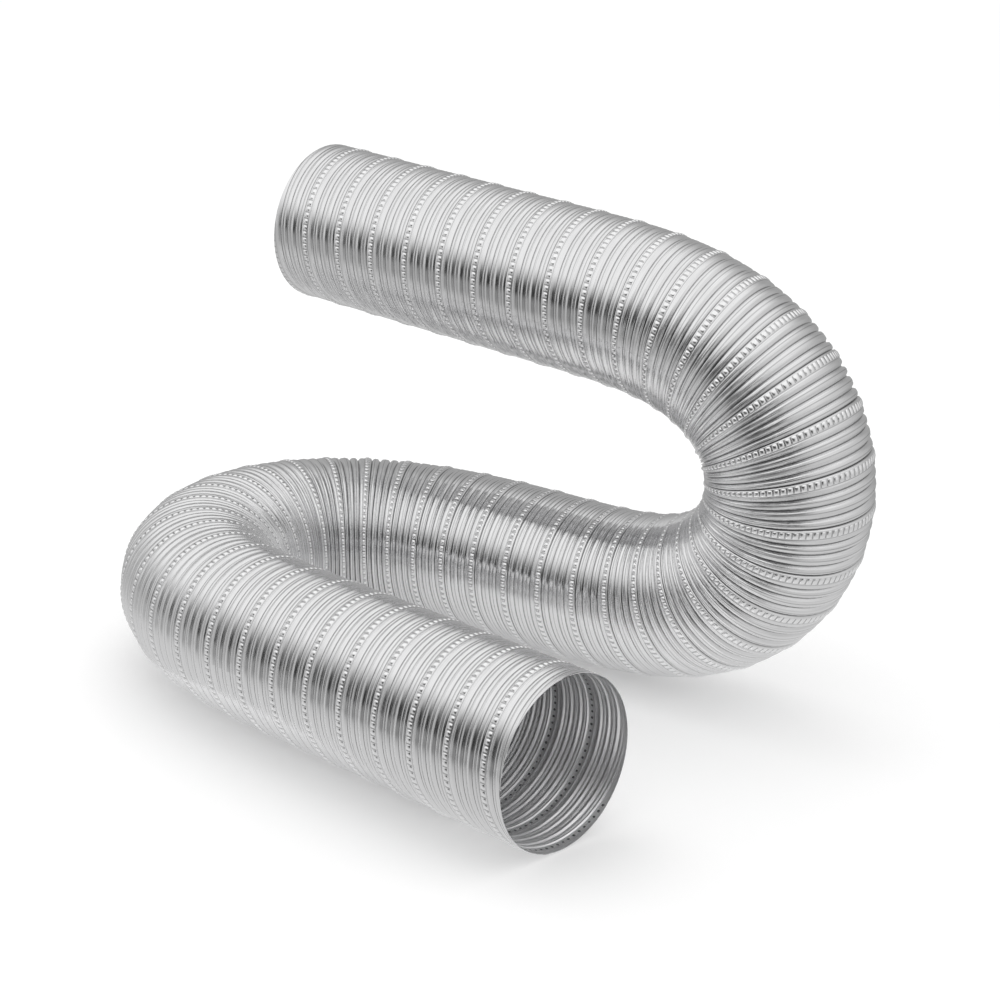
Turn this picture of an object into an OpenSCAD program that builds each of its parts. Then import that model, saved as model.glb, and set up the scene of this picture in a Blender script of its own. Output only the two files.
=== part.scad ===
// Semi-rigid aluminium air duct hose: one strip of foil, corrugated and wound
// into a tube with a lock seam, bent by hand into an S that stands on its own.
// The path starts at the upper end, drops through a bend in a near-upright plane
// to the floor, and sweeps round a second bend on the floor to the front mouth.

/* [Tube] */
// Inside diameter of the plain bands, a slip fit over a 100 mm spigot
bore_d = 102; // [100:0.5:104]
// Length of the plain band at each end
band_len = 12; // [8:1:20]
// Gap between the bore and the inside corners of the corrugated wall
inner_gap = 1; // [1:0.1:1.3]
// Thickness of the corrugated wall in its grooves
wall = 0.8; // [0.8:0.1:1.2]
// Height of the lock seam above the grooves
seam_rise = 1.6; // [0.6:0.1:2.2]
// Height of the two ridges between one seam and the next above the grooves
ridge_rise = 1.3; // [0.4:0.1:2.2]

/* [Winding] */
// Turns of the strip between the plain bands
turns = 50; // [40:1:50]
// Share of the pitch that is pushed together at the middle of the upright bend
drop_squeeze = 0.27; // [0:0.01:0.35]
// Share of the pitch that is pushed together at the middle of the floor bend
sweep_squeeze = 0.15; // [0:0.01:0.35]

/* [Lay] */
// Length of the duct along its axis
duct_len = 1338; // [1300:1:1400]
// How far the upper run climbs towards its open end, in degrees
upper_climb = 3; // [0:0.5:4]
// Distance from the upper end to the start of the upright bend
drop_start = 194; // [150:1:220]
// Length of the upright bend, its gradual ends included
drop_len = 487; // [470:1:520]
// Distance from the upper end to the start of the floor bend
sweep_start = 622; // [600:1:660]
// Length of the floor bend, its gradual ends included
sweep_len = 551; // [540:1:600]
// How far the floor bend turns, in degrees
sweep_turn = 174; // [165:1:185]

/* [Hidden] */

bore_r = bore_d / 2;
inner_r = bore_r + inner_gap;
groove_r = inner_r + wall;
// The plain bands just cover the grooves
band_r = groove_r + 0.1;

// Corners round the tube
sides = 16;
// Outer profile of one turn: share of the pitch from the seam, and height above
// the grooves. Each ridge stands between two grooves, and the seam's sides are
// broader, as the foil lies flat there.
profile = [
    [0, seam_rise],
    [0.25, 0],
    [0.35, ridge_rise],
    [0.45, 0],
    [0.57, ridge_rise],
    [0.69, 0]
];

// The corrugated wall runs a little way into each plain band
lap = 4;
first = band_len + 1;
last = duct_len - band_len - 1;

// A bend's turning rises and fades like a raised cosine: part done, and rate
function done(s, start, length) =
    let (u = min(max((s - start) / length, 0), 1)) u - sin(360 * u) / (2 * PI);
function rate(s, start, length) =
    let (u = min(max((s - start) / length, 0), 1)) (1 - cos(360 * u)) / 2;

// Slope and heading of the axis at distance s from the upper end
function slope(s) = -upper_climb - (180 - upper_climb) * done(s, drop_start, drop_len);
function heading(s) = 180 - sweep_turn + sweep_turn * done(s, sweep_start, sweep_len);

// Directions along the axis, level across it, and square to both
function along(s) = [
    cos(slope(s)) * cos(heading(s)),
    cos(slope(s)) * sin(heading(s)),
    sin(slope(s))
];
function across(s) = [-sin(heading(s)), cos(heading(s)), 0];
function upright(s) = cross(along(s), across(s));

// Pitch of the winding as a share of its length where the duct is straight
function pitch_share(s) =
    1 - drop_squeeze * rate(s, drop_start, drop_len)
      - sweep_squeeze * rate(s, sweep_start, sweep_len);

// The straight pitch that fits the wanted turns between the plain bands
count_step = 2;
share_sums = [
    for (s = first, sum = 0; s <= last; sum = sum + count_step / pitch_share(s), s = s + count_step) sum
];
pitch = share_sums[len(share_sums) - 1] / turns;

// Distance and place of the axis at each step of the winding, from the start
// of the corrugated wall; there are as many steps to a turn as corners.
// After a number of turns that falls between two steps, axis_at goes between them.
function advance(s) = pitch * pitch_share(s) / sides;
axis = [
    for (
        i = 0, s = first, p = first * along(0);
        i <= turns * sides;
        p = p + advance(s) * along(s + advance(s) / 2), s = s + advance(s), i = i + 1
    )
    [s, p]
];
function axis_at(n) =
    let (step = min(floor(n * sides), turns * sides - 1), part = n * sides - step)
    [for (k = [0 : 1]) (1 - part) * axis[step][k] + part * axis[step + 1][k]];
wound_end = axis[turns * sides];
mouth_place = wound_end[1] + (duct_len - wound_end[0]) * along(duct_len);

// A corner of the wall round the place p on the axis
function corner(s, p, i, r) =
    p + r * (cos(360 * i / sides) * across(s) + sin(360 * i / sides) * upright(s));

// One skin of the wall: rows of corners that climb with the winding, then a
// level ring of corners inside each plain band. Each row is a share of the pitch
// and a radius, and comes again in every turn. The rows stop one turn before the
// end, and each of them climbs through that turn.
function skin_corners(rows, ring_r) = concat(
    [
        for (j = [0 : (turns - 1) * len(rows)], i = [0 : sides - 1])
            let (row = rows[j % len(rows)], at = axis_at(floor(j / len(rows)) + row[0] + i / sides))
            corner(at[0], at[1], i, row[1])
    ],
    [for (i = [0 : sides - 1]) corner(0, (band_len - lap) * along(0), i, ring_r)],
    [
        for (i = [0 : sides - 1])
            corner(duct_len, mouth_place - (band_len - lap) * along(duct_len), i, ring_r)
    ]
);
outer_corners = skin_corners([for (row = profile) [row[0], groove_r + row[1]]], groove_r);
inner_corners = skin_corners([[0, inner_r]], inner_r);
corners = concat(outer_corners, inner_corners);

// Number of the corner in row j and column i; a column past the last one is
// the first column, one turn further on
function number(j, i, turn_rows) =
    i < sides ? j * sides + i : (j + turn_rows) * sides + i - sides;

// Faces of one skin, seen from outside: the wound rows, then the strips that
// join the first and the last row to the level rings
function skin_faces(turn_rows) =
    let (
        rows = (turns - 1) * turn_rows,
        top = rows * sides,
        side = sides - 1,
        first_ring = (rows + 1) * sides,
        last_ring = first_ring + sides
    )
    concat(
        [
            for (j = [0 : rows - 1], i = [0 : side])
                if (i < side || j + 1 + turn_rows <= rows)
                    let (
                        a = number(j, i, turn_rows),
                        b = number(j + 1, i, turn_rows),
                        c = number(j + 1, i + 1, turn_rows),
                        d = number(j, i + 1, turn_rows)
                    )
                    each [[a, b, c], [a, c, d]]
        ],
        [
            for (i = [0 : side - 1])
                each [[first_ring + i, i, i + 1], [first_ring + i, i + 1, first_ring + i + 1]]
        ],
        [[first_ring + side, side, first_ring], [first_ring, side, 0]],
        [for (j = [0 : turn_rows - 1]) [j * sides, side, (j + 1) * sides]],
        [
            for (i = [0 : side - 1])
                each [[top + i, last_ring + i, last_ring + i + 1], [top + i, last_ring + i + 1, top + i + 1]]
        ],
        [for (j = [rows - turn_rows : rows - 1]) [top, j * sides + side, (j + 1) * sides + side]],
        [[top, top + side, last_ring + side], [top, last_ring + side, last_ring]]
    );

// The two skins, the inner one turned over, and the edges that join their rings
outer_count = len(outer_corners);
outer_ring = outer_count - 2 * sides;
inner_ring = len(corners) - 2 * sides;
faces = concat(
    skin_faces(len(profile)),
    [for (f = skin_faces(1)) [for (k = [2 : -1 : 0]) f[k] + outer_count]],
    [
        for (i = [0 : sides - 1])
            let (next = (i + 1) % sides)
            each [
                [outer_ring + i, outer_ring + next, inner_ring + next],
                [outer_ring + i, inner_ring + next, inner_ring + i],
                [outer_ring + sides + i, inner_ring + sides + next, outer_ring + sides + next],
                [outer_ring + sides + i, inner_ring + sides + i, inner_ring + sides + next]
            ]
    ]
);

// The origin is on the floor, under the middle of the duct
function middle(k) =
    let (values = [for (c = outer_corners) c[k]]) (min(values) + max(values)) / 2;
floor_z = min([for (c = outer_corners) c[2]]);
origin = [middle(0), middle(1), floor_z];

// The wound and corrugated strip
module corrugated_wall() {
    polyhedron(points = corners, faces = faces, convexity = 20);
}

// Plain band at an end, from its outer edge at p inwards; way is 1 where the
// axis runs into the duct there, and -1 where it runs out
module plain_band(s, p, way) {
    translate(p)
        rotate([0, 90 - slope(s), heading(s)])
            mirror([0, 0, way < 0 ? 1 : 0])
                difference() {
                    cylinder(h = band_len, r = band_r, $fn = 64);
                    translate([0, 0, -1]) cylinder(h = band_len + 2, r = bore_r, $fn = 64);
                }
}

module duct() {
    color("silver")
        translate(-origin)
            union() {
                corrugated_wall();
                plain_band(0, [0, 0, 0], 1);
                plain_band(duct_len, mouth_place, -1);
            }
}

duct();
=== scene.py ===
"""Looks of a corrugated aluminium duct hose: one strip of foil, wound and lock-seamed, bent into an S.

Lengths are in millimetres until they become meshes, and in metres for the floor, the cards, the lamp and
the camera. s is the distance along the duct's axis from its upper end. tau is the number of turns along
the strip, and w the number of pitches across it.
"""

import math

import bpy
import numpy as np
from mathutils import Matrix, Vector


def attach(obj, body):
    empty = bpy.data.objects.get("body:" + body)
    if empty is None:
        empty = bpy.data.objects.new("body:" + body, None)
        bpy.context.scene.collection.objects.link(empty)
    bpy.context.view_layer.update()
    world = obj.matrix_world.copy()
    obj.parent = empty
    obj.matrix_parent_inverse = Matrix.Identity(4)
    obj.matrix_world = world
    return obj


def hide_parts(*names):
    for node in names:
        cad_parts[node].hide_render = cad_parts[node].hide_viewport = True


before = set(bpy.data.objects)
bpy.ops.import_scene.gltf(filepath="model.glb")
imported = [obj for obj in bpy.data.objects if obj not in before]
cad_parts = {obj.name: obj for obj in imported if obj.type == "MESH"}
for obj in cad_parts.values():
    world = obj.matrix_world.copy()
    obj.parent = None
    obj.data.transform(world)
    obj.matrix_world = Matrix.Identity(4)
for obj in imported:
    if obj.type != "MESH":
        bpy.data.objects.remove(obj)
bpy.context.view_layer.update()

MM = 0.001
TAU = 2 * math.pi

# The lay of the duct, as in part.scad
DUCT_LEN = 1338.0
UPPER_CLIMB = 3.0
DROP_START, DROP_LEN = 194.0, 487.0
SWEEP_START, SWEEP_LEN, SWEEP_TURN = 622.0, 551.0, 174.0
DROP_SQUEEZE, SWEEP_SQUEEZE = 0.27, 0.15
BAND_LEN = 12.0
TURNS = 50
# The solid's winding begins this far past each plain band
PAST_BAND = 1
# Height of the floor runs' axis, which is also the solid's outer radius
AXIS_Z = 54.4
# The end of the axis at the front mouth
MOUTH = np.array([214.887, -123.221, AXIS_Z])


def progress(s, start, length):
    return np.clip((s - start) / length, 0, 1)


def done(s, start, length):
    """Share of a bend's turning that is done at s."""
    u = progress(s, start, length)
    return u - np.sin(TAU * u) / TAU


def rate(s, start, length):
    """How fast a bend turns at s, as a share of its fastest."""
    return (1 - np.cos(TAU * progress(s, start, length))) / 2


def ease(u):
    """A smooth step for u from 0 to 1."""
    return u * u * (3 - 2 * u)


def directions(s):
    """The axis direction at s, the level direction across it, and the one square to both."""
    slope = np.radians(-UPPER_CLIMB - (180 - UPPER_CLIMB) * done(s, DROP_START, DROP_LEN))
    heading = np.radians(180 - SWEEP_TURN + SWEEP_TURN * done(s, SWEEP_START, SWEEP_LEN))
    along = np.stack([np.cos(slope) * np.cos(heading), np.cos(slope) * np.sin(heading), np.sin(slope)], -1)
    across = np.stack([-np.sin(heading), np.cos(heading), 0 * heading], -1)
    return along, across, np.cross(along, across)


# The axis as a table of places, which runs on past both ends
STEP = 0.25
OVERRUN = 60
table_s = np.arange(-OVERRUN, DUCT_LEN + OVERRUN + STEP / 2, STEP)
mid_s = (table_s[1:] + table_s[:-1]) / 2
table_p = np.concatenate([np.zeros((1, 3)), np.cumsum(directions(mid_s)[0] * STEP, axis=0)])
table_p += MOUTH - [np.interp(DUCT_LEN, table_s, table_p[:, k]) for k in range(3)]


def pitch_share(s):
    """Pitch of the winding on the axis as a share of its length on a straight run."""
    return 1 - DROP_SQUEEZE * rate(s, DROP_START, DROP_LEN) - SWEEP_SQUEEZE * rate(s, SWEEP_START, SWEEP_LEN)


# Turns wound up to each place of the table; turn 0 is where the solid's winding begins
table_n = np.concatenate([[0.0], np.cumsum(STEP / pitch_share(mid_s))])
wound = BAND_LEN + PAST_BAND
first_n, last_n = np.interp([wound, DUCT_LEN - wound], table_s, table_n)
PITCH = (last_n - first_n) / TURNS
table_n = (table_n - first_n) / PITCH


def station(n):
    """Distance along the axis after n turns."""
    return np.interp(n, table_n, table_s)


def place(s):
    return np.stack([np.interp(s, table_s, table_p[:, k]) for k in range(3)], -1)


# The lock seam's flat top: w from its middle, and the drop below the crown
SEAM = [(-0.091, 0.48), (-0.078, 0.36), (0.0, 0.30), (0.062, 0.36), (0.074, 0.50)]
# From the fold beside one seam to the fold beside the next: valleys and ribs, each with its w, its drop,
# how far squeezing deepens it, and its drop where the outside of a bend pulls the strip open. The deep
# valleys part the ridges. Each ridge is a pair of ribs, which becomes one round fold when opened.
RIBS = [
    (0.084, 0.58, 0.3, 0.70), (0.120, 0.42, 0.1, 0.42), (0.170, 0.50, 0.3, 0.60), (0.237, 1.28, 1.0, 2.75),
    (0.290, 0.45, 0.2, 0.72), (0.325, 0.80, 0.5, 0.36), (0.375, 0.36, 0.1, 0.62), (0.447, 1.22, 1.0, 2.75),
    (0.500, 0.36, 0.1, 0.70), (0.555, 0.78, 0.5, 0.32), (0.625, 0.32, 0.1, 0.66), (0.694, 1.34, 1.0, 2.80),
    (0.750, 0.38, 0.1, 0.66), (0.805, 0.84, 0.5, 0.34), (0.845, 0.52, 0.3, 0.80), (0.888, 1.05, 0.6, 2.30),
]
# Places of the rows of corners on a flank, as shares of the way from one of these to the next
FLANK_ROWS = [0.0, 0.27, 0.73]


def strip_profile():
    """Rows across the strip: w, drop, deepening, and the drop when opened."""
    rows = [(w, drop, 0, drop) for w, drop in SEAM]
    for near, far in zip(RIBS, RIBS[1:]):
        for u in FLANK_ROWS:
            w = near[0] + u * (far[0] - near[0])
            rows.append((w, *(a + ease(u) * (b - a) for a, b in zip(near[1:], far[1:]))))
    return [(RIBS[-1][0] - 1, *RIBS[-1][1:])] + rows


widths, drops, deepens, opens = np.array(strip_profile()).T
ROWS = len(widths)
# Corners round the tube in each row
COLUMNS = 64
# Radius that the drops are measured from, and the thickness of the foil
CROWN = 53.6
SKIN = 0.3


def stretch(s, angle):
    """Local length of the winding there as a share of its length on a straight run."""
    near = 1.0
    before, after = directions(s - near)[0], directions(s + near)[0]
    bend = (after - before) / (2 * near)
    _, across, upright = directions(s)
    out = np.cos(angle)[..., None] * across + np.sin(angle)[..., None] * upright
    return pitch_share(s) * (1 - CROWN * (bend * out).sum(-1))


# The waves of the slow noise: about how many radians they go through in a turn, how many there are at
# each such rate, and how many at most go round the tube
WANDER_RATES = (0.35, 0.9, 2.1, 4.3)
WANDER_WAVES = 3
WANDER_ROUND = 4


def wander(n, angle, seed):
    """Slow smooth noise over the strip, about -1 to 1, the same on every run."""
    rng = np.random.default_rng(seed)
    total = 0
    for scale in WANDER_RATES:
        for _ in range(WANDER_WAVES):
            per_turn, phase = rng.normal(0, scale), rng.uniform(0, TAU)
            per_round = int(rng.integers(-WANDER_ROUND, WANDER_ROUND + 1))
            total = total + np.cos(per_turn * n + per_round * angle + phase) / (1 + scale)
    return total / len(WANDER_RATES)


# By what share the deepest valleys get deeper where the winding is fully pushed together
SQUEEZE_DEPTH = 1.4
# The folds open outside a bend from this local length of the winding, and fully after so much more
OPEN_FROM, OPEN_OVER = 0.55, 0.45
# At each end the foil is plain for the first length, and the ribs rise over the second
PLAIN_LEN, RISE_LEN = 1, 6
PLAIN_DROP = 0.30
# Dents over the whole skin, and the uneven depth of the folds, which changes faster along the strip
DENT_DEPTH, DENT_SEED = 0.07, 3
UNEVEN_DEPTH, UNEVEN_RATE, UNEVEN_SEED = 0.10, 2.3, 5


def radius_of(n, angle, s, drop, deepen, open_drop):
    """Radius of the outer skin."""
    length = stretch(s, angle)
    squeeze = np.clip(1 - length, 0, 1)
    bent = rate(s, DROP_START, DROP_LEN) + rate(s, SWEEP_START, SWEEP_LEN)
    opened = bent * np.clip((length - OPEN_FROM) / OPEN_OVER, 0, 1)
    fall = drop * (1 + SQUEEZE_DEPTH * deepen * squeeze) + (open_drop - drop) * opened
    ribbed = ease(np.clip((np.minimum(s, DUCT_LEN - s) - PLAIN_LEN) / RISE_LEN, 0, 1))
    fall = PLAIN_DROP + (fall - PLAIN_DROP) * ribbed
    dents = DENT_DEPTH * (1 + wander(n, angle, DENT_SEED))
    fall = fall + dents + deepen * UNEVEN_DEPTH * wander(UNEVEN_RATE * n, angle, UNEVEN_SEED)
    return CROWN - fall


def tube_point(s, angle, r):
    _, across, upright = directions(s)
    out = np.cos(angle)[..., None] * across + np.sin(angle)[..., None] * upright
    return place(s) + r[..., None] * out


def strip_point(tau, w, r):
    """Place of a point of the strip, at radius r."""
    return tube_point(np.clip(station(tau + w), 0, DUCT_LEN), TAU * tau, r)


# The wound skin as a grid: rows along the strip, and columns round the tube. The strip starts before the
# upper end and stops after the front one, and what lies past an end or nearly there goes to the rim.
FIRST_TURN, LAST_TURN = -2, 53
RIM_GAP = 0.4
RIM_R = 53.2
turn_ids = np.arange(FIRST_TURN, LAST_TURN)
row_turn = np.repeat(turn_ids, ROWS)
row_w, row_drop, row_deepen, row_open = (np.tile(v, len(turn_ids)) for v in (widths, drops, deepens, opens))
row_n = (turn_ids[:, None] + widths[None]).ravel()
column = np.arange(COLUMNS)
column_angle = TAU * column / COLUMNS
grid_n = row_n[:, None] + column[None] / COLUMNS
grid_angle = np.broadcast_to(column_angle, grid_n.shape)
grid_s = station(grid_n)
duct_s = np.clip(grid_s, 0, DUCT_LEN)
grid_r = radius_of(
    grid_n, grid_angle, duct_s, row_drop[:, None], row_deepen[:, None], row_open[:, None]
)


def with_rims(skin_r, rim_r):
    """The corners of a skin, then a ring of corners at each end."""
    rims = [tube_point(np.full(COLUMNS, s), column_angle, np.full(COLUMNS, rim_r)) for s in (0.0, DUCT_LEN)]
    return np.concatenate([tube_point(duct_s, grid_angle, skin_r).reshape(-1, 3), *rims])


outer = with_rims(grid_r, RIM_R)
inner = with_rims(grid_r - SKIN, RIM_R - SKIN)

count = grid_n.size
number = np.arange(count).reshape(grid_n.shape)
number = np.where(grid_s <= RIM_GAP, count + column[None], number)
number = np.where(grid_s >= DUCT_LEN - RIM_GAP, count + COLUMNS + column[None], number)

# Each cell of the grid as a quad with its strip coordinates. Past the last column comes the first one,
# a turn further on.
k, i = np.meshgrid(np.arange(len(row_n) - 1 - ROWS), column, indexing="ij")
wrap = i == COLUMNS - 1
k2 = np.where(wrap, k + ROWS, k)
i2 = np.where(wrap, 0, i + 1)
quads = np.stack([number[k, i], number[k + 1, i], number[k2 + 1, i2], number[k2, i2]], -1)
cell_turn = row_turn[k]
w_here = row_w[k]
w_next = np.where(row_w[k + 1] < w_here, 1 + row_w[k + 1], row_w[k + 1])
tau_here = cell_turn + i / COLUMNS
tau_next = cell_turn + (i + 1) / COLUMNS
quad_corners = [(tau_here, w_here), (tau_here, w_next), (tau_next, w_next), (tau_next, w_here)]
quad_uv = np.stack([np.stack(corner, -1) for corner in quad_corners], -2)

# Edges sharper than this are not shaded smooth
SHARP_ANGLE = math.radians(55)


def triangles(cell):
    """Triangles of the chosen cells of the winding, with strip coordinates for each corner."""
    quad, uv = quads[cell], quad_uv[cell]
    faces = np.concatenate([quad[:, [0, 1, 2]], quad[:, [0, 2, 3]]])
    strip = np.concatenate([uv[:, [0, 1, 2]], uv[:, [0, 2, 3]]])
    a, b, c = faces.T
    whole = (a != b) & (b != c) & (c != a)
    return faces[whole], strip[whole]


def make_mesh(name, points, faces, strip, finish=None):
    """A piece from triangles, with the strip coordinates and the material index of each."""
    used, faces = np.unique(faces, return_inverse=True)
    faces = faces.reshape(-1, 3)
    mesh = bpy.data.meshes.new(name)
    mesh.vertices.add(len(used))
    mesh.vertices.foreach_set("co", (points[used] * MM).astype(np.float32).ravel())
    mesh.loops.add(faces.size)
    mesh.loops.foreach_set("vertex_index", faces.ravel().astype(np.int32))
    mesh.polygons.add(len(faces))
    mesh.polygons.foreach_set("loop_start", np.arange(0, faces.size, 3, dtype=np.int32))
    mesh.polygons.foreach_set("loop_total", np.full(len(faces), 3, dtype=np.int32))
    layer = mesh.uv_layers.new(name="strip")
    layer.uv.foreach_set("vector", strip.astype(np.float32).ravel())
    mesh.update(calc_edges=True)
    if finish is not None:
        mesh.polygons.foreach_set("material_index", finish.astype(np.int32))
    mesh.polygons.foreach_set("use_smooth", np.ones(len(mesh.polygons), dtype=bool))
    mesh.set_sharp_from_angle(angle=SHARP_ANGLE)
    obj = bpy.data.objects.new(name, mesh)
    bpy.context.scene.collection.objects.link(obj)
    return obj


def shell(name, cell):
    """A closed piece of the wound skin: outside, inside, and the edges that join them."""
    faces, strip = triangles(cell)
    inner_at = len(outer)
    edges = np.concatenate([faces[:, [0, 1]], faces[:, [1, 2]], faces[:, [2, 0]]])
    edge_uv = np.concatenate([strip[:, [0, 1]], strip[:, [1, 2]], strip[:, [2, 0]]])
    forward = edges[:, 0] * inner_at + edges[:, 1]
    backward = edges[:, 1] * inner_at + edges[:, 0]
    free = ~np.isin(backward, forward)
    u, v = edges[free].T
    u_uv, v_uv = edge_uv[free][:, 0], edge_uv[free][:, 1]
    u_in, v_in = u + inner_at, v + inner_at
    wall = np.concatenate([np.stack([v, u, u_in], -1), np.stack([v, u_in, v_in], -1)])
    wall_uv = np.concatenate([np.stack([v_uv, u_uv, u_uv], 1), np.stack([v_uv, u_uv, v_uv], 1)])
    finish = np.concatenate([np.zeros(len(faces)), np.ones(len(faces)), np.zeros(len(wall))])
    all_faces = np.concatenate([faces, faces[:, ::-1] + inner_at, wall])
    all_uv = np.concatenate([strip, strip[:, ::-1], wall_uv])
    return make_mesh(name, np.concatenate([outer, inner]), all_faces, all_uv, finish)


# The skin is cut at these turns into pieces of a moderate size
CUTS = [FIRST_TURN, 9, 20, 31, 42, LAST_TURN]
WALLS = ["duct_wall_upper", "duct_wall_drop", "duct_wall_middle", "duct_wall_sweep", "duct_wall_front"]
walls = [
    shell(name, (cell_turn >= first) & (cell_turn < last))
    for name, first, last in zip(WALLS, CUTS, CUTS[1:])
]

# The knurls that are pressed into each turn of the lock seam, and the marks that they leave on the
# inside, which are low caps in a dark colour that is painted shade of the pits
KNURLS = 79
KNURL_LEN, KNURL_WIDTH, KNURL_RISE = 3.5, 3.2, 0.60
CAP_LEN, CAP_WIDTH, CAP_RISE = 2.2, 2.6, 0.3
# Rings of a knurl and of a cap from foot to top: share of the half width, and share of the rise
DOME = [(1.0, -0.25), (0.80, 0.42), (0.46, 0.86)]
CAP = [(1.0, -0.25)]
# Corners of a ring, along the strip and across it, and how far those on its diagonals reach
RING = [(-1, -1), (0, -1), (1, -1), (1, 0), (1, 1), (0, 1), (-1, 1), (-1, 0)]
DIAGONAL_REACH = 0.86
# The knurls differ in height down to this share of the full rise
LEAST_RISE, RISE_SEED = 0.85, 11
# Room left between the last knurl and the end of the duct
END_ROOM = 0.6


def knurls(name, side, rise, width, length, rings):
    """Closed low domes of rounded square outline along the whole seam.

    side is 1 on the outside of the skin and -1 on the inside.
    """
    tau = (np.arange(-KNURLS, (TURNS + 1) * KNURLS) + 0.5) / KNURLS
    s = station(tau)
    tau = tau[(s > width / 2 + END_ROOM) & (s < DUCT_LEN - width / 2 - END_ROOM)]
    s = station(tau)
    half_w = width / 2 / PITCH / pitch_share(s)
    half_tau = length / 2 / (TAU * CROWN)
    lift = rise * np.random.default_rng(RISE_SEED).uniform(LEAST_RISE, 1.0, len(tau))
    seam_drop = np.interp(0.0, widths, drops)
    base = radius_of(tau, TAU * tau, s, seam_drop, 0, seam_drop) - (0 if side > 0 else SKIN)

    spots = []
    for share, level in rings:
        for along, across in RING:
            reach = share * (DIAGONAL_REACH if along and across else 1)
            spots.append((along * reach, across * reach, level))
    spots.append((0, 0, 1.0))
    points = [
        strip_point(tau + along * half_tau, across * half_w, base + side * lift * level)
        for along, across, level in spots
    ]

    size = len(RING)
    tris = [(0, j + 1, j) for j in range(1, size - 1)]
    top = (len(rings) - 1) * size
    for j in range(size):
        n = (j + 1) % size
        for at in range(0, top, size):
            up = at + size
            tris += [(at + j, at + n, up + n), (at + j, up + n, up + j)]
        tris.append((top + j, top + n, len(spots) - 1))
    tris = np.array(tris)
    if side > 0:
        tris = tris[:, ::-1]
    faces = (tris[None] + len(spots) * np.arange(len(tau))[:, None, None]).reshape(-1, 3)
    uv = np.repeat(np.stack([tau, 0 * tau], -1), len(spots), axis=0)
    return make_mesh(name, np.stack(points, 1).reshape(-1, 3), faces, uv[faces])


pads = knurls("seam_knurls", 1, KNURL_RISE, KNURL_WIDTH, KNURL_LEN, DOME)
caps = knurls("seam_dents_inside", -1, CAP_RISE, CAP_WIDTH, CAP_LEN, CAP)


def node_material(name):
    """A new material, its node tree, and the output node that is all it holds."""
    mat = bpy.data.materials.new(name)
    mat.use_nodes = True
    tree = mat.node_tree
    tree.nodes.clear()
    return mat, tree, tree.nodes.new("ShaderNodeOutputMaterial")


def math_node(tree, kind, *values):
    """Output of a math node on numbers and on other nodes' outputs."""
    node = tree.nodes.new("ShaderNodeMath")
    node.operation = kind
    for socket, value in zip(node.inputs, values):
        if isinstance(value, (int, float)):
            socket.default_value = value
        else:
            tree.links.new(value, socket)
    return node.outputs[0]


def map_range(tree, value, from_range, to_range):
    node = tree.nodes.new("ShaderNodeMapRange")
    node.inputs["From Min"].default_value, node.inputs["From Max"].default_value = from_range
    node.inputs["To Min"].default_value, node.inputs["To Max"].default_value = to_range
    tree.links.new(value, node.inputs["Value"])
    return node.outputs[0]


def multiply_colour(tree, a, b):
    node = tree.nodes.new("ShaderNodeVectorMath")
    node.operation = "MULTIPLY"
    tree.links.new(a, node.inputs[0])
    tree.links.new(b, node.inputs[1])
    return node.outputs[0]


# Painted shade: the foil's colour is darkened in the valleys, where shade falls: the deep ones, the shallow
# ones, and the seam's folds
DEEP_PAINTED_SHADE, SHALLOW_PAINTED_SHADE, FOLD_PAINTED_SHADE = 0.20, 0.56, 0.16
# A valley whose drop is more than this is a deep one
DEEP_DROP = 1
# Pitches from the bottom of a valley, or of the fold, to where the foil is bright again
VALLEY_HALF, FOLD_HALF = 0.016, 0.016
# The crease on the seam's other side: its painted shade, and how far it reaches towards the seam and away
# from it
CREASE_PAINTED_SHADE, CREASE_BEFORE, CREASE_AFTER = 0.55, 0.010, 0.014
# Painted shade between two knurls, where shade falls, on this much of the pitch to each side of the seam's
# middle.
# It comes in between these values of a cosine that is 1 midway between two knurls.
GAP_PAINTED_SHADE = 0.55
GAP_HALF = 0.066
GAP_EDGES = (0.72, 0.95)


def painted_shade_stops():
    """Places across the strip, from the fold beside the seam as 0, with the painted shade there."""
    start = RIBS[-1][0] - 1
    stops = [(0.0, FOLD_PAINTED_SHADE), (FOLD_HALF, 1.0), (1 - FOLD_HALF, 1.0), (1.0, FOLD_PAINTED_SHADE)]
    for before, here, after in zip(RIBS, RIBS[1:], RIBS[2:]):
        if here[1] > before[1] and here[1] > after[1]:
            shade = DEEP_PAINTED_SHADE if here[1] > DEEP_DROP else SHALLOW_PAINTED_SHADE
            at = here[0] - start
            stops += [(at - VALLEY_HALF, 1.0), (at, shade), (at + VALLEY_HALF, 1.0)]
    crease = RIBS[0][0] - start
    stops += [(crease - CREASE_BEFORE, 1.0), (crease, CREASE_PAINTED_SHADE), (crease + CREASE_AFTER, 1.0)]
    return sorted(stops)


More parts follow.
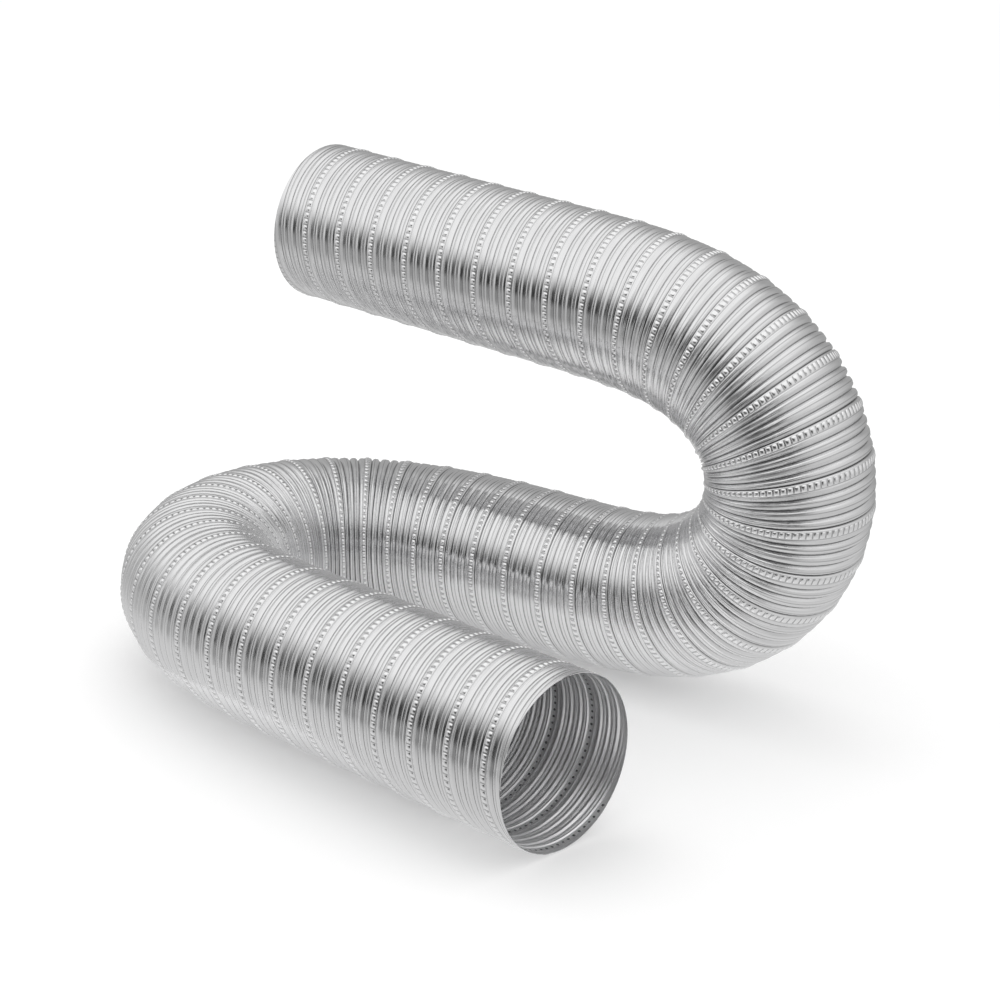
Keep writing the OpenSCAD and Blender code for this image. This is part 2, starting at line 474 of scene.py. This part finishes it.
def painted_crease_shade(tree, strip):
    """Painted shade of the foil from its strip coordinates: its colour is made dark in the valleys and
    between the knurls, where shade falls.
    """
    split = tree.nodes.new("ShaderNodeSeparateXYZ")
    tree.links.new(strip, split.inputs[0])
    tau, w = split.outputs[0], split.outputs[1]
    valleys = tree.nodes.new("ShaderNodeValToRGB")
    stops = painted_shade_stops()
    while len(valleys.color_ramp.elements) < len(stops):
        valleys.color_ramp.elements.new(0.5)
    for element, (at, value) in zip(valleys.color_ramp.elements, stops):
        element.position = at
        element.color = (value, value, value, 1)
    tree.links.new(math_node(tree, "ADD", w, 1 - RIBS[-1][0]), valleys.inputs[0])

    # Painted shade on the seam, between the knurls
    wave = math_node(tree, "COSINE", math_node(tree, "MULTIPLY", tau, TAU * KNURLS))
    on_seam = math_node(tree, "LESS_THAN", math_node(tree, "ABSOLUTE", w), GAP_HALF)
    dark = map_range(tree, wave, GAP_EDGES, (0.0, 1 - GAP_PAINTED_SHADE))
    gap = math_node(tree, "MULTIPLY", dark, on_seam)
    return math_node(tree, "MULTIPLY", valleys.outputs[0], math_node(tree, "SUBTRACT", 1.0, gap))


# Noise over the strip, in waves to a turn and to a pitch: fine lines that the rollers leave, and patches
LINES, LINES_DETAIL = (14.0, 80.0, 1.0), 3.0
PATCHES, PATCHES_DETAIL = (5.0, 4.0, 1.0), 2.0
# The range of the noise that is used, and what the lines add to the roughness over it
NOISE_RANGE = (0.3, 0.7)
LINES_ROUGH = (-0.02, 0.03)
# The colour's range of the noise, and what is added to the shade at its two ends
COLOUR_RANGE = (0.3, 0.75)
COLOUR_SPREAD = [(-0.05, -0.05, -0.045), (0.05, 0.05, 0.055)]
# The lines as bumps, with their height in metres
BUMP_STRENGTH, BUMP_HEIGHT = 0.9, 0.0002


def foil_material(name, shade, rough_range, paint_crease_shade=False):
    """Rolled aluminium with the given brightness and range of roughness."""
    mat, tree, out = node_material(name)
    nodes, links = tree.nodes, tree.links
    shader = nodes.new("ShaderNodeBsdfPrincipled")
    links.new(shader.outputs[0], out.inputs[0])
    shader.inputs["Metallic"].default_value = 1.0
    uv = nodes.new("ShaderNodeUVMap")
    uv.uv_map = "strip"

    def noise(detail, waves):
        mapping = nodes.new("ShaderNodeMapping")
        mapping.inputs["Scale"].default_value = waves
        links.new(uv.outputs[0], mapping.inputs["Vector"])
        texture = nodes.new("ShaderNodeTexNoise")
        texture.inputs["Scale"].default_value = 1.0
        texture.inputs["Detail"].default_value = detail
        links.new(mapping.outputs[0], texture.inputs["Vector"])
        return texture.outputs["Fac"]

    lines = noise(LINES_DETAIL, LINES)
    patches = noise(PATCHES_DETAIL, PATCHES)
    patch_rough = map_range(tree, patches, NOISE_RANGE, rough_range)
    line_rough = map_range(tree, lines, NOISE_RANGE, LINES_ROUGH)
    links.new(math_node(tree, "ADD", patch_rough, line_rough), shader.inputs["Roughness"])

    ramp = nodes.new("ShaderNodeValToRGB")
    for element, position, spread in zip(ramp.color_ramp.elements, COLOUR_RANGE, COLOUR_SPREAD):
        element.position = position
        element.color = (*(shade + d for d in spread), 1)
    links.new(lines, ramp.inputs[0])
    colour = ramp.outputs[0]
    # Painted shade: the colour is darkened in the valleys, the folds and between the knurls
    if paint_crease_shade:
        colour = multiply_colour(tree, colour, painted_crease_shade(tree, uv.outputs[0]))
    links.new(colour, shader.inputs["Base Color"])

    bump = nodes.new("ShaderNodeBump")
    bump.inputs["Strength"].default_value = BUMP_STRENGTH
    bump.inputs["Distance"].default_value = BUMP_HEIGHT
    links.new(lines, bump.inputs["Height"])
    links.new(bump.outputs[0], shader.inputs["Normal"])
    return mat


# The outside of the foil, with painted shade in its valleys and between the knurls
foil = foil_material("foil", 0.82, (0.05, 0.09), paint_crease_shade=True)
# The inside of the foil is its rougher matte side; its colour is lighter than the outside's as painted
# light, lifting the dim inside of the duct
foil_inside = foil_material("foil_inside", 0.98, (0.26, 0.34))
for wall in walls:
    wall.data.materials.append(foil)
    wall.data.materials.append(foil_inside)
# The knurls' colour is lighter than the foil's, as a painted highlight on the same foil
pads.data.materials.append(foil_material("foil_knurl_painted_light", 0.92, (0.07, 0.11)))
# The caps inside are painted dark, as painted shade of the pits
caps.data.materials.append(foil_material("foil_pit_painted_shade", 0.22, (0.30, 0.40)))
for piece in [*walls, pads, caps]:
    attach(piece, "root")
for wall in walls:
    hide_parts("duct")


def stage_object(name, verts, faces, material):
    mesh = bpy.data.meshes.new(name)
    mesh.from_pydata(verts, [], faces)
    mesh.materials.append(material)
    obj = bpy.data.objects.new(name, mesh)
    bpy.context.scene.collection.objects.link(obj)
    return obj


# The floor, whose glow makes it white to the camera and in reflections
FLOOR_HALF = 20.0
FLOOR_COLOUR = (0.80, 0.80, 0.80, 1)
FLOOR_GLOW = 0.25

floor_mat, tree, out = node_material("floor")
diffuse = tree.nodes.new("ShaderNodeBsdfDiffuse")
diffuse.inputs[0].default_value = FLOOR_COLOUR
glow = tree.nodes.new("ShaderNodeEmission")
glow.inputs[0].default_value = (1, 1, 1, 1)
rays = tree.nodes.new("ShaderNodeLightPath").outputs
mirrored = math_node(tree, "MAXIMUM", rays["Is Glossy Ray"], rays["Is Transmission Ray"])
seen = math_node(tree, "MAXIMUM", rays["Is Camera Ray"], mirrored)
tree.links.new(math_node(tree, "MULTIPLY", seen, FLOOR_GLOW), glow.inputs[1])
add = tree.nodes.new("ShaderNodeAddShader")
tree.links.new(diffuse.outputs[0], add.inputs[0])
tree.links.new(glow.outputs[0], add.inputs[1])
tree.links.new(add.outputs[0], out.inputs[0])
floor_corners = [(x * FLOOR_HALF, y * FLOOR_HALF, 0.0) for x, y in ((-1, -1), (1, -1), (1, 1), (-1, 1))]
stage_object("floor", floor_corners, [(0, 1, 2, 3)], floor_mat)

# The camera's place and its axes, from the photograph
CAMERA_AT = (1.0769, -1.11576, 0.64229)
CAMERA_RIGHT = (0.724862, 0.687917, 0.036673)
CAMERA_UP = (-0.241583, 0.203982, 0.948699)

# Cards round the set, seen only in reflections: dark from the camera's left to the camera itself,
# paler on its right and grey at the back. Each tone stands at its degrees round the set, where 0 is the
# camera's side and its left is negative. An apron on the floor leads up to the cards from the middle.
CARD_R = 1.0
CARD_STEPS = 90
CARD_TONES = [
    (-180, 0.40), (-150, 0.44), (-128, 0.56), (-116, 0.82), (-100, 0.82), (-88, 0.52), (-62, 0.46),
    (-50, 0.06), (-44, 0.04), (14, 0.05), (36, 0.70), (60, 0.80), (95, 0.66), (130, 0.40), (180, 0.40),
]
APRON_TONES = [
    (-180, 0.38), (-125, 0.48), (-95, 0.54), (-60, 0.50), (-35, 0.24), (10, 0.24), (30, 0.58), (95, 0.62),
    (130, 0.40), (180, 0.38),
]
# The elevations between which the cards fade into the white above them
CARD_EDGES = [
    (-180, 34, 72), (-130, 28, 58), (-100, 23, 50), (-60, 20, 50), (15, 20, 50), (40, 26, 64), (100, 30, 66),
    (180, 34, 72),
]
# The elevations between which the apron's tone fades into the card's
CARD_FOOT = (4, 13)
TOP_TONE, FLOOR_TONE = 1.0, 0.72
# Radii of the apron's rings, and those between which it fades in. It lies just above the floor.
APRON_RADII = (0.20, 0.25, 0.30, 0.36, 0.43, 0.52, 0.63, 0.78, 0.95)
APRON_FADE = (0.20, 0.62)
APRON_Z, CARD_Z = 0.0002, 0.01
CARD_ELEVATIONS = range(0, 79, 3)


def soft(x, start, end):
    return ease(min(max((x - start) / (end - start), 0), 1))


def mix(a, b, share):
    return a + (b - a) * share


def card_tone(deg, elevation):
    """Tone of the cards at these degrees round the set and this elevation."""
    edge_deg, fade_from, fade_to = np.transpose(CARD_EDGES)
    apron = np.interp(deg, *np.transpose(APRON_TONES))
    card = mix(apron, np.interp(deg, *np.transpose(CARD_TONES)), soft(elevation, *CARD_FOOT))
    faded = soft(elevation, np.interp(deg, edge_deg, fade_from), np.interp(deg, edge_deg, fade_to))
    return mix(TOP_TONE, card, 1 - faded)


def apron_tone(deg, r):
    """Tone of the apron at these degrees round the set and this distance from its middle."""
    return mix(FLOOR_TONE, np.interp(deg, *np.transpose(APRON_TONES)), soft(r, *APRON_FADE))


camera_way = math.atan2(CAMERA_AT[1], CAMERA_AT[0])
card_deg = [-180 + 360 * j / CARD_STEPS for j in range(CARD_STEPS)]
rings = [(r, APRON_Z) for r in APRON_RADII]
tones = [apron_tone(deg, r) for r in APRON_RADII for deg in card_deg]
for elevation in CARD_ELEVATIONS:
    rise = math.radians(elevation)
    rings.append((CARD_R * math.cos(rise), CARD_R * math.sin(rise) + CARD_Z))
    tones += [card_tone(deg, elevation) for deg in card_deg]
verts = []
for r, z in rings:
    for deg in card_deg:
        way = camera_way + math.radians(deg)
        verts.append((r * math.cos(way), r * math.sin(way), z))
faces = []
for low_ring in range(0, len(verts) - CARD_STEPS, CARD_STEPS):
    high_ring = low_ring + CARD_STEPS
    for j in range(CARD_STEPS):
        n = (j + 1) % CARD_STEPS
        faces.append((low_ring + j, low_ring + n, high_ring + n, high_ring + j))

card_mat, tree, out = node_material("dark_surround")
shine = tree.nodes.new("ShaderNodeEmission")
tone = tree.nodes.new("ShaderNodeAttribute")
tone.attribute_name = "tone"
tree.links.new(tone.outputs["Color"], shine.inputs[0])
tree.links.new(shine.outputs[0], out.inputs[0])
cards = stage_object("dark_surround", verts, faces, card_mat)
layer = cards.data.color_attributes.new("tone", "FLOAT_COLOR", "POINT")
for j, value in enumerate(tones):
    layer.data[j].color = (value, value, value, 1)
cards.visible_camera = False
cards.visible_diffuse = False
cards.visible_shadow = False
cards.visible_transmission = False

WORLD_STRENGTH = 0.95
world = bpy.data.worlds.new("studio")
world.use_nodes = True
bpy.context.scene.world = world
back = world.node_tree.nodes["Background"]
back.inputs[0].default_value = (1, 1, 1, 1)
back.inputs[1].default_value = WORLD_STRENGTH

# A large lamp above and behind the duct, a little to the camera's left, for the soft shadow. It isn't
# mirrored in the foil.
SOFTBOX_AT, SOFTBOX_AIM = (-0.6, 0.2, 1.6), (0, 0, 0.1)
SOFTBOX_SIZE, SOFTBOX_WATTS = (1.6, 1.2), 5.0
data = bpy.data.lights.new("top_softbox", "AREA")
data.shape = "RECTANGLE"
data.size, data.size_y = SOFTBOX_SIZE
data.energy = SOFTBOX_WATTS
softbox = bpy.data.objects.new("top_softbox", data)
bpy.context.scene.collection.objects.link(softbox)
softbox.location = SOFTBOX_AT
softbox.rotation_mode = "QUATERNION"
softbox.rotation_quaternion = (Vector(SOFTBOX_AIM) - Vector(SOFTBOX_AT)).to_track_quat("-Z", "Y")
softbox.visible_glossy = False

data = bpy.data.cameras.new("camera")
data.sensor_fit = "HORIZONTAL"
data.sensor_width = 36.0
data.lens = 92.508
data.clip_start, data.clip_end = 0.05, 100.0
camera = bpy.data.objects.new("camera", data)
bpy.context.scene.collection.objects.link(camera)
right, up = Vector(CAMERA_RIGHT), Vector(CAMERA_UP)
turn = Matrix((right, up, right.cross(up))).transposed()
camera.matrix_world = Matrix.Translation(CAMERA_AT) @ turn.to_4x4()
bpy.context.scene.camera = camera
bpy.context.scene.view_settings.view_transform = "Standard"
# Enough for the reflections between the ribs and inside the mouth
bpy.context.scene.cycles.glossy_bounces = 10
